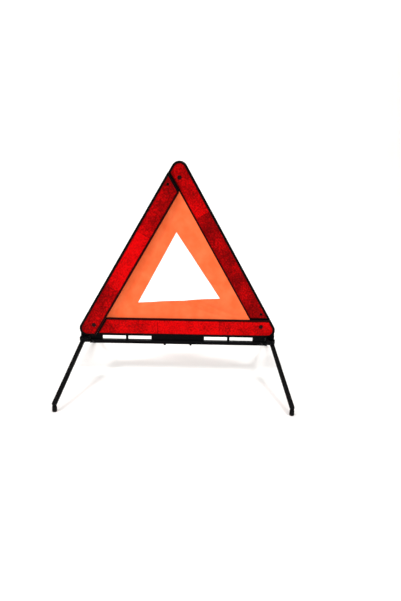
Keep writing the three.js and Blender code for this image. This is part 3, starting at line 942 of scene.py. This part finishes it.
class TRIANGLE_OT_rivets(bpy.types.Operator):
    """Makes the corner rivets, their washers and the latch stud"""

    bl_idname = "triangle.rivets"
    bl_label = "Corner Rivets"

    def execute(self, context):
        owners = {"left_arm_pin": "left", "right_arm_pin": "bottom", "apex_pin": "right"}
        for node, arm_name in owners.items():
            fit(corner_rivet(node, arm_name), node, dark_acetal_rivet(), rounding=0.12 * MM)
        for side in SIDES:
            fit(corner_washer(side), f"{side}_arm_washer", zinc_plated_steel(), rounding=0.08 * MM)
        fit(latch_stud(), "latch_stud", black_abs_moulded(), rounding=0.15 * MM)
        return {"FINISHED"}


# ---- the fluorescent sheet -----------------------------------------------------------------

WINDOW_CORNERS = ((-90, 169), (94, 181.5), (-5, 329))  # (x, z) in millimetres, from lower left
SHEET_CELLS = (72, 18)  # along each side, and from the edge to the window
WINDOW_BULGE = 0.35 * MM  # of the window's lower edge
CREASES = ((0.62, 0.42), (0.8, 0.3))  # where each starts along the lower strip, and its slope
CREASE_WIDTH = 0.028  # as a share of the lower strip's length


def sheet_corners():
    """The sheet's corners (x, z): lower left, lower right and top, then the window's."""
    arm, sheet = bpy.context.scene.arm_sizes, bpy.context.scene.sheet_sizes
    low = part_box("fluorescent_sheet")[0].z
    half = triangle_side() / 2

    def edge(side, reach):
        """x at the sheet's foot on a line that runs reach outside an upper arm's inner edge."""
        return side * (half - (arm.width - reach) * 2 / ROOT3 - (low - lower_edge()) / ROOT3)

    shift = (sheet.overlap - sheet.tuck) / ROOT3
    top = lower_edge() + (half - (arm.width - sheet.tuck) * 2 / ROOT3 + shift) * ROOT3
    outside = [Vector((edge(-1, sheet.tuck), low)), Vector((edge(1, sheet.overlap), low)),
               Vector((shift, top))]
    return outside, [Vector(corner) * MM for corner in WINDOW_CORNERS]


def ripples(side, t, share):
    """Soft waves, still along the held edge and widest at the window. t runs along a side, and
    share from the held edge to the window."""
    slack = math.sqrt(math.sin(math.pi * t)) * share
    slow = math.sin(math.tau * (2.5 * t + 0.35 * share + side / 3))
    quick = 0.4 * math.sin(math.tau * (5.5 * t - 1.4 * share + side / 5))
    return slack * (slow + quick)


def lean(side, t, share):
    """How far the sheet leans back along its right edge, to lie against the right arm. It stays
    upright in the lower arm's slot."""
    if side == 0:
        return 0
    along = min(1, t / 0.08) if side == 1 else max(0, 1 - t / 0.12)
    return along * along * (3 - 2 * along) * (1 - share) ** 2


def creases(side, t, share):
    """Narrow slanting creases in the lower strip, where the fabric is pulled aside."""
    if side != 0:
        return 0
    total = 0
    for start, slope in CREASES:
        across = (t - start - slope * (0.7 - share)) / CREASE_WIDTH
        total += math.exp(-across * across) * math.sin(math.pi * share)
    return total


def sheet_point(side, t, share, outside, window):
    """A point of the sheet, pulled out of its plane by its slack."""
    sheet = bpy.context.scene.sheet_sizes
    outer = outside[side].lerp(outside[(side + 1) % 3], t)
    inner = window[side].lerp(window[(side + 1) % 3], t)
    if side == 0:
        inner.y += WINDOW_BULGE * math.sin(math.tau * 1.5 * t) * math.sin(math.pi * t)
    point = outer.lerp(inner, share)
    depth = (sheet.wave * ripples(side, t, share) + sheet.lean * lean(side, t, share)
             + sheet.crease * creases(side, t, share))
    return point.x, depth, point.y


def fabric(outside, window):
    """A ring of cells between the sheet's edge and its window, given its thickness."""
    along, across = SHEET_CELLS
    work = bmesh.new()
    rings = [[
        work.verts.new(sheet_point(side, i / along, k / across, outside, window))
        for side in range(3) for i in range(along)
    ] for k in range(across + 1)]
    for near, far in zip(rings, rings[1:]):
        for i in range(len(near)):
            work.faces.new((near[i - 1], near[i], far[i], far[i - 1]))
    bmesh.ops.recalc_face_normals(work, faces=work.faces)
    made = to_object("fluorescent_fabric", work)
    thicken = made.modifiers.new("thickness", "SOLIDIFY")
    thicken.thickness = bpy.context.scene.sheet_sizes.thickness
    thicken.offset = 0
    settle(made)
    for face in made.data.polygons:
        face.use_smooth = True
    made.data.set_sharp_from_angle(angle=math.radians(40))
    return made


class TRIANGLE_OT_sheet(bpy.types.Operator):
    """Makes the fluorescent sheet with its triangular window"""

    bl_idname = "triangle.sheet"
    bl_label = "Fluorescent Sheet"

    def execute(self, context):
        outside, window = sheet_corners()
        made = fabric(outside, window)
        fit(made, "fluorescent_sheet", fluorescent_coated_polyester())
        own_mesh(made)
        return {"FINISHED"}


# ---- the base rail -------------------------------------------------------------------------


def channel():
    """The rail: a channel that is open below, with a web that carries the lower arm."""
    base = bpy.context.scene.base_sizes
    low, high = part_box("base_rail")
    top = low.z + base.ledge_height
    web_top = lower_edge() - CLEARANCE
    inside, web = high.y - base.wall, base.web / 2
    ceiling = top - base.wall - CLEARANCE
    profile = [
        (-inside, low.z), (-inside, ceiling), (inside, ceiling), (inside, low.z),
        (high.y, low.z), (high.y, top), (web, top), (web, web_top), (-web, web_top),
        (-web, top), (low.y, top), (low.y, low.z),
    ]
    made = skin("base_channel", [[(x, y, z) for y, z in profile] for x in (low.x, high.x)])
    margin = 0.4 * MM  # the stated openings stay this far inside their windows
    for opening in frame["record"]["physics"]["openings"]:
        if opening["name"].startswith("window"):
            (x0, _, _), (x1, _, _) = opening["box_m"]
            near, far = (x0 - margin, -inside, top), (x1 + margin, inside, web_top + PAST)
            cut(made, block("window", near, far))
    add_channel_ribs(made, inside, ceiling)
    add_tabs(made, top)
    for side in SIDES:
        pin = middle(f"{side}_block_pin")
        bore(made, (pin.x, -pin.z), base.screw_hole, low.y, high.y, facing_back())
    return made


def add_channel_ribs(rail, inside, ceiling):
    """Cross ribs inside the channel, clear of the clips and the brackets' spigots."""
    half, spacing, first, count = 0.6 * MM, 50 * MM, 55 * MM, 3
    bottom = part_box("base_rail")[0].z + 1.5 * MM
    for side in (-1, 1):
        for index in range(count):
            x = side * (first + spacing * index)
            join(rail, block("rib", (x - half, -inside - half, bottom),
                             (x + half, inside + half, ceiling + half)))


def add_tabs(rail, top):
    """The tabs behind the lower arm, with their screw holes and round upper corners."""
    base = bpy.context.scene.base_sizes
    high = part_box("base_rail")[1]
    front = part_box("bottom_arm_frame")[1].y + CLEARANCE
    half, radius = 4.7 * MM, 2.5 * MM
    for index in SCREWS:
        screw = middle(f"base_screw_{index}")
        left, right = screw.x - half, screw.x + half
        outline = [(left, -top + PAST), (right, -top + PAST)]
        outline += arc((right - radius, -high.z + radius), radius, 0, -90, CORNER_STEPS)
        outline += arc((left + radius, -high.z + radius), radius, -90, -180, CORNER_STEPS)
        join(rail, slab("tab", outline, front, high.y, facing_back()))
        bore(rail, (screw.x, -screw.z), base.screw_hole, front, high.y, facing_back())


def pan_screw(index):
    """A pan-head screw with a cross recess, its head towards +Y."""
    low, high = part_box(f"base_screw_{index}")
    centre = middle(f"base_screw_{index}")
    place = facing_back((centre.x, high.y, centre.z))
    end = (low.y - high.y) / MM
    made = turned(f"tab_screw_{index}", [
        (0, 0), (1.6, 0), (2.5, -0.3), (3, -0.9), (3, -1.3), (1.5, -1.3), (1.5, end + 0.7),
        (0.9, end), (0, end),
    ], place)
    reach, half, depth = 1.5 * MM, 0.28 * MM, 0.75 * MM
    for x, y in ((reach, half), (half, reach)):
        cut(made, block("recess", (-x, -y, -depth), (x, y, PAST), place))
    return made


def clip(side):
    """A small U clip that snaps on the channel from below."""
    low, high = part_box(f"{side}_rail_clip")
    channel_low, channel_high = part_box("base_rail")
    inside = channel_high.y + CLEARANCE
    floor = channel_low.z - CLEARANCE
    profile = [
        (low.y, low.z), (high.y, low.z), (high.y, high.z), (inside, high.z),
        (inside, floor), (-inside, floor), (-inside, high.z), (low.y, high.z),
    ]
    return skin(f"{side}_channel_clip",
                [[(x, y, z) for y, z in profile] for x in (low.x, high.x)])


def bracket_pin(side):
    """A rivet through the channel and a bracket's spigot, with a head on each side."""
    low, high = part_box(f"{side}_block_pin")
    end = (high.y - low.y) / 2 / MM
    half = [(0, end), (1.6, end), (2.3, end - 0.3), (2.6, end - 0.8), (2.6, end - 1.2),
            (1.5, end - 1.2)]
    mirrored = [(radius, -height) for radius, height in reversed(half)]
    place = facing_back(middle(f"{side}_block_pin"))
    return turned(f"{side}_bracket_rivet", half + mirrored, place)


class TRIANGLE_OT_channel(bpy.types.Operator):
    """Makes the base rail with its clips, screws and cross rivets"""

    bl_idname = "triangle.channel"
    bl_label = "Base Rail"

    def execute(self, context):
        fit(channel(), "base_rail", black_glass_filled_nylon(), rounding=0.3 * MM)
        for index in SCREWS:
            fit(pan_screw(index), f"base_screw_{index}", zinc_plated_steel(), rounding=0.05 * MM)
        for side in SIDES:
            fit(clip(side), f"{side}_rail_clip", black_glass_filled_nylon(), rounding=0.4 * MM)
            fit(bracket_pin(side), f"{side}_block_pin", black_phosphated_steel(), rounding=0.1 * MM)
        return {"FINISHED"}


# ---- the brackets and the legs -------------------------------------------------------------

END_GAP = 0.5 * MM  # between the channel's end and a bracket
BRACKET_RAISE = 2 * MM  # a bracket's bottom above the channel's


def lug_cuts(side, clear):
    """What frees a bracket's two sloped lugs: the space under each, its hole and its bore."""
    base = bpy.context.scene.base_sizes
    under = base.strap_depth / 2 + CLEARANCE
    back = base.eye_radius + PAST
    for end in ENDS:
        place = rivet_place(f"{end}_{side}")
        near, far = (-clear, back) if end == "front" else (-back, clear)
        yield block("under", (-clear, near, -clear), (clear, far, under), place)
        yield rod("hole", (0, 0), base.lug_hole, 0, clear, place)
        yield rod("bore", (0, 0), base.lug_counterbore, base.lug_seat, clear, place)


def shoulder(sign, outer, low, high, clear):
    """What fills the corner outside the rounding of an arm's cap."""
    arm = bpy.context.scene.arm_sizes
    depth, length_along = arm.depth / 2, 16 * MM
    near, far = sorted((sign * (outer - length_along), sign * outer))
    made = block("shoulder", (near, -depth, low), (far, depth, high))
    centre = (sign * (triangle_side() / 2 - arm.corner_radius * ROOT3),
              -(lower_edge() + arm.corner_radius))
    radius = arm.corner_radius + CLEARANCE
    return cut(made, rod("cap", centre, radius, -clear, clear, facing_back()))


def bracket(side):
    """An end bracket: a round-ended block with a sloped lug over each leg, a spigot for the
    channel, and a shoulder."""
    base = bpy.context.scene.base_sizes
    sign = -1 if side == "left" else 1
    low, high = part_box(f"{side}_end_block")
    rail_low, rail_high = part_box("base_rail")
    outer = max(abs(low.x), abs(high.x))
    inner = rail_high.x + END_GAP
    centre_x, radius = sign * (outer + inner) / 2, (outer - inner) / 2
    reach = high.y - radius
    clear = 2 * radius
    bottom, top = rail_low.z + BRACKET_RAISE, lower_edge() - 2 * CLEARANCE
    outline = arc((centre_x, reach), radius, 0, 180, CAP_STEPS)
    outline += arc((centre_x, -reach), radius, 180, 360, CAP_STEPS)
    made = slab(f"{side}_end_bracket", outline, bottom, top)
    cut(made, *lug_cuts(side, clear))
    snug = rail_high.y - base.wall - CLEARANCE
    ceiling = rail_low.z + base.ledge_height - base.wall - 2 * CLEARANCE
    near, far = sorted((sign * min(abs(low.x), abs(high.x)), centre_x))
    join(made, block("spigot", (near, -snug, low.z), (far, snug, ceiling)))
    join(made, shoulder(sign, outer, top - PAST, high.z, clear))
    pin = middle(f"{side}_block_pin")
    return bore(made, (pin.x, -pin.z), base.screw_hole, -clear, clear, facing_back())


class TRIANGLE_OT_brackets(bpy.types.Operator):
    """Makes the two brackets that carry the legs"""

    bl_idname = "triangle.brackets"
    bl_label = "End Brackets"

    def execute(self, context):
        for side in SIDES:
            fit(bracket(side), f"{side}_end_block", black_glass_filled_nylon(),
                rounding=0.5 * MM, segments=3)
        return {"FINISHED"}


def leg(quarter):
    """A pressed strap with an eye at its rivet, a groove along it, and a turned-down end."""
    base = bpy.context.scene.base_sizes
    place, bend = strap_place(quarter), bend_point(quarter)
    reach = (bend - place.translation).length
    half, edge = base.strap_depth / 2, base.strap_width / 2
    turn = math.degrees(math.asin(edge / base.eye_radius))
    outline = arc((reach, 0), edge, -90, 90, CAP_STEPS)
    outline += arc((0, 0), base.eye_radius, turn, 360 - turn, ROUND_STEPS)
    made = slab(f"{quarter}_strut", outline, -half, half, place)
    stub_low = 4 * MM  # inside the rubber tip
    join(made, rod("stub", bend.xy, base.stub_radius, stub_low, bend.z))
    groove_half, groove_start, groove_end = base.groove_width / 2, 22 * MM, reach - 14 * MM
    groove = arc((groove_end, 0), groove_half, -90, 90, GROOVE_STEPS)
    groove += arc((groove_start, 0), groove_half, 90, 270, GROOVE_STEPS)
    cut(made, slab("groove", groove, half - base.groove_depth, half + PAST, place))
    return bore(made, (0, 0), base.lug_hole, -half, half, place)


def tip(quarter):
    """A moulded rubber tip with two grip rings."""
    low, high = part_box(f"{quarter}_foot")
    centre = middle(f"{quarter}_foot")
    tall = (high.z - low.z) / MM
    radius = (high.x - low.x) / 2 / MM
    waist = radius - 0.35
    profile = [(0, 3.7), (3.5, 3.7), (3.5, tall), (4.1, tall), (waist, tall - 0.9)]
    for ring in (tall - 3.4, tall - 6.2):
        profile += [(waist, ring + 0.8), (radius, ring + 0.5), (radius, ring - 0.5),
                    (waist, ring - 0.8)]
    profile += [(radius, 1.5), (3.6, 0), (0, 0)]
    place = Matrix.Translation((centre.x, centre.y, low.z))
    return turned(f"{quarter}_rubber_tip", profile, place)


def leg_rivet(quarter):
    """A rivet through a bracket's lug and a leg's eye, with a low domed head at both ends."""
    base = bpy.context.scene.base_sizes
    over = (base.lug_seat + CLEARANCE) / MM
    under = -(base.strap_depth / 2 + CLEARANCE) / MM
    return turned(f"{quarter}_strut_rivet", [
        (0, over + 1.3), (2.6, over + 1.2), (3.6, over + 0.8), (4, over + 0.3), (4, over),
        (2, over), (2, under), (4, under), (4, under - 0.4), (3.5, under - 0.9),
        (2.4, under - 1.3), (0, under - 1.3),
    ], rivet_place(quarter))


class TRIANGLE_OT_legs(bpy.types.Operator):
    """Makes the four legs with their rubber tips and rivets"""

    bl_idname = "triangle.legs"
    bl_label = "Legs"

    def execute(self, context):
        for quarter in (f"{end}_{side}" for end in ENDS for side in SIDES):
            fit(leg(quarter), f"{quarter}_leg", black_baked_enamel(), rounding=0.35 * MM)
            fit(tip(quarter), f"{quarter}_foot", black_epdm_rubber(), rounding=0.12 * MM)
            fit(leg_rivet(quarter), f"{quarter}_leg_pin", black_phosphated_steel(),
                rounding=0.12 * MM)
        return {"FINISHED"}


# ---- the stage -----------------------------------------------------------------------------

OBJECT_MIDDLE = (0, 0, 0.25)
SOFTBOXES = {  # place, target, width and power in watts
    "overhead_softbox": ((-0.3, -0.4, 2.6), OBJECT_MIDDLE, 2.2, 14),
    "front_left_softbox": ((-1.26, -0.95, 1.53), OBJECT_MIDDLE, 0.4, 17),
    "front_right_softbox": ((0.94, -0.8, 1.89), OBJECT_MIDDLE, 0.4, 14),
    "backdrop_softbox": ((0, 0.9, 2.6), (0, 2.6, 0.8), 1.6, 40),
}


def backdrop():
    """A floor that curves up into a wall."""
    half, front, back, radius, height, steps = 5.0, -4.0, 2.6, 1.0, 4.0, 24
    curve = arc((back - radius, radius), radius, -90, 0, steps)
    profile = [(front, 0.0), *curve, (back, height)]
    work = bmesh.new()
    near, far = ([work.verts.new((x, y, z)) for y, z in profile] for x in (-half, half))
    for i in range(len(profile) - 1):
        work.faces.new((near[i], far[i], far[i + 1], near[i + 1]))
    made = to_object("backdrop", work)
    for face in made.data.polygons:
        face.use_smooth = True
    made.data.materials.append(matt_white_paint()[0])


def softbox(name, place, target, size, power):
    light = bpy.data.lights.new(name, "AREA")
    light.shape = "DISK"
    light.size = size
    light.energy = power
    made = bpy.data.objects.new(name, light)
    made.location = place
    made.rotation_euler = (Vector(target) - Vector(place)).to_track_quat("-Z", "Y").to_euler()
    bpy.context.scene.collection.objects.link(made)


def sky():
    """A soft, slightly warm light from all around."""
    world = bpy.data.worlds.new("studio")
    world.use_nodes = True
    set_up(world.node_tree.nodes["Background"], {"Color": (1, 0.965, 0.93, 1), "Strength": 0.5})
    bpy.context.scene.world = world


def camera():
    """A camera that looks ahead and down, and is turned about its own axis by its roll."""
    view = bpy.context.scene.camera_settings
    ahead = Vector((math.sin(view.yaw) * math.cos(view.pitch),
                    math.cos(view.yaw) * math.cos(view.pitch), -math.sin(view.pitch)))
    level = Vector((math.cos(view.yaw), -math.sin(view.yaw), 0))
    above = level.cross(ahead)
    right = level * math.cos(view.roll) + above * math.sin(view.roll)
    up = above * math.cos(view.roll) - level * math.sin(view.roll)
    data = bpy.data.cameras.new("camera")
    data.lens = view.lens
    made = bpy.data.objects.new("camera", data)
    made.matrix_world = axes(right, up, -ahead, view.place)
    bpy.context.scene.collection.objects.link(made)
    bpy.context.scene.camera = made


class TRIANGLE_OT_stage(bpy.types.Operator):
    """Makes the floor, the lights and the camera"""

    bl_idname = "triangle.stage"
    bl_label = "Stage"

    def execute(self, context):
        backdrop()
        for name, details in SOFTBOXES.items():
            softbox(name, *details)
        sky()
        context.scene.view_settings.view_transform = "Standard"
        camera()
        return {"FINISHED"}


# ---- the add-on ----------------------------------------------------------------------------

OPERATORS = (
    TRIANGLE_OT_trays, TRIANGLE_OT_lenses, TRIANGLE_OT_rivets, TRIANGLE_OT_sheet,
    TRIANGLE_OT_channel, TRIANGLE_OT_brackets, TRIANGLE_OT_legs, TRIANGLE_OT_stage,
)


class TRIANGLE_PT_build(bpy.types.Panel):
    """Lists the pieces of the warning triangle"""

    bl_idname = "TRIANGLE_PT_build"
    bl_label = "Warning Triangle"
    bl_space_type = "VIEW_3D"
    bl_region_type = "UI"
    bl_category = "Triangle"

    def draw(self, context):
        for operator in OPERATORS:
            self.layout.operator(operator.bl_idname)


GROUPS = {
    "arm_sizes": TRIANGLE_ArmSizes,
    "sheet_sizes": TRIANGLE_SheetSizes,
    "base_sizes": TRIANGLE_BaseSizes,
    "finish_colours": TRIANGLE_Colours,
    "camera_settings": TRIANGLE_CameraSettings,
}


def register():
    for cls in (*GROUPS.values(), *OPERATORS, TRIANGLE_PT_build):
        bpy.utils.register_class(cls)
    for name, group in GROUPS.items():
        setattr(bpy.types.Scene, name, bpy.props.PointerProperty(type=group))


def unregister():
    for name in GROUPS:
        delattr(bpy.types.Scene, name)
    for cls in (TRIANGLE_PT_build, *reversed(OPERATORS), *reversed(GROUPS.values())):
        bpy.utils.unregister_class(cls)


def main():
    register()
    for operator in OPERATORS:
        group, name = operator.bl_idname.split(".")
        getattr(getattr(bpy.ops, group), name)()


if __name__ == "__main__":
    main()
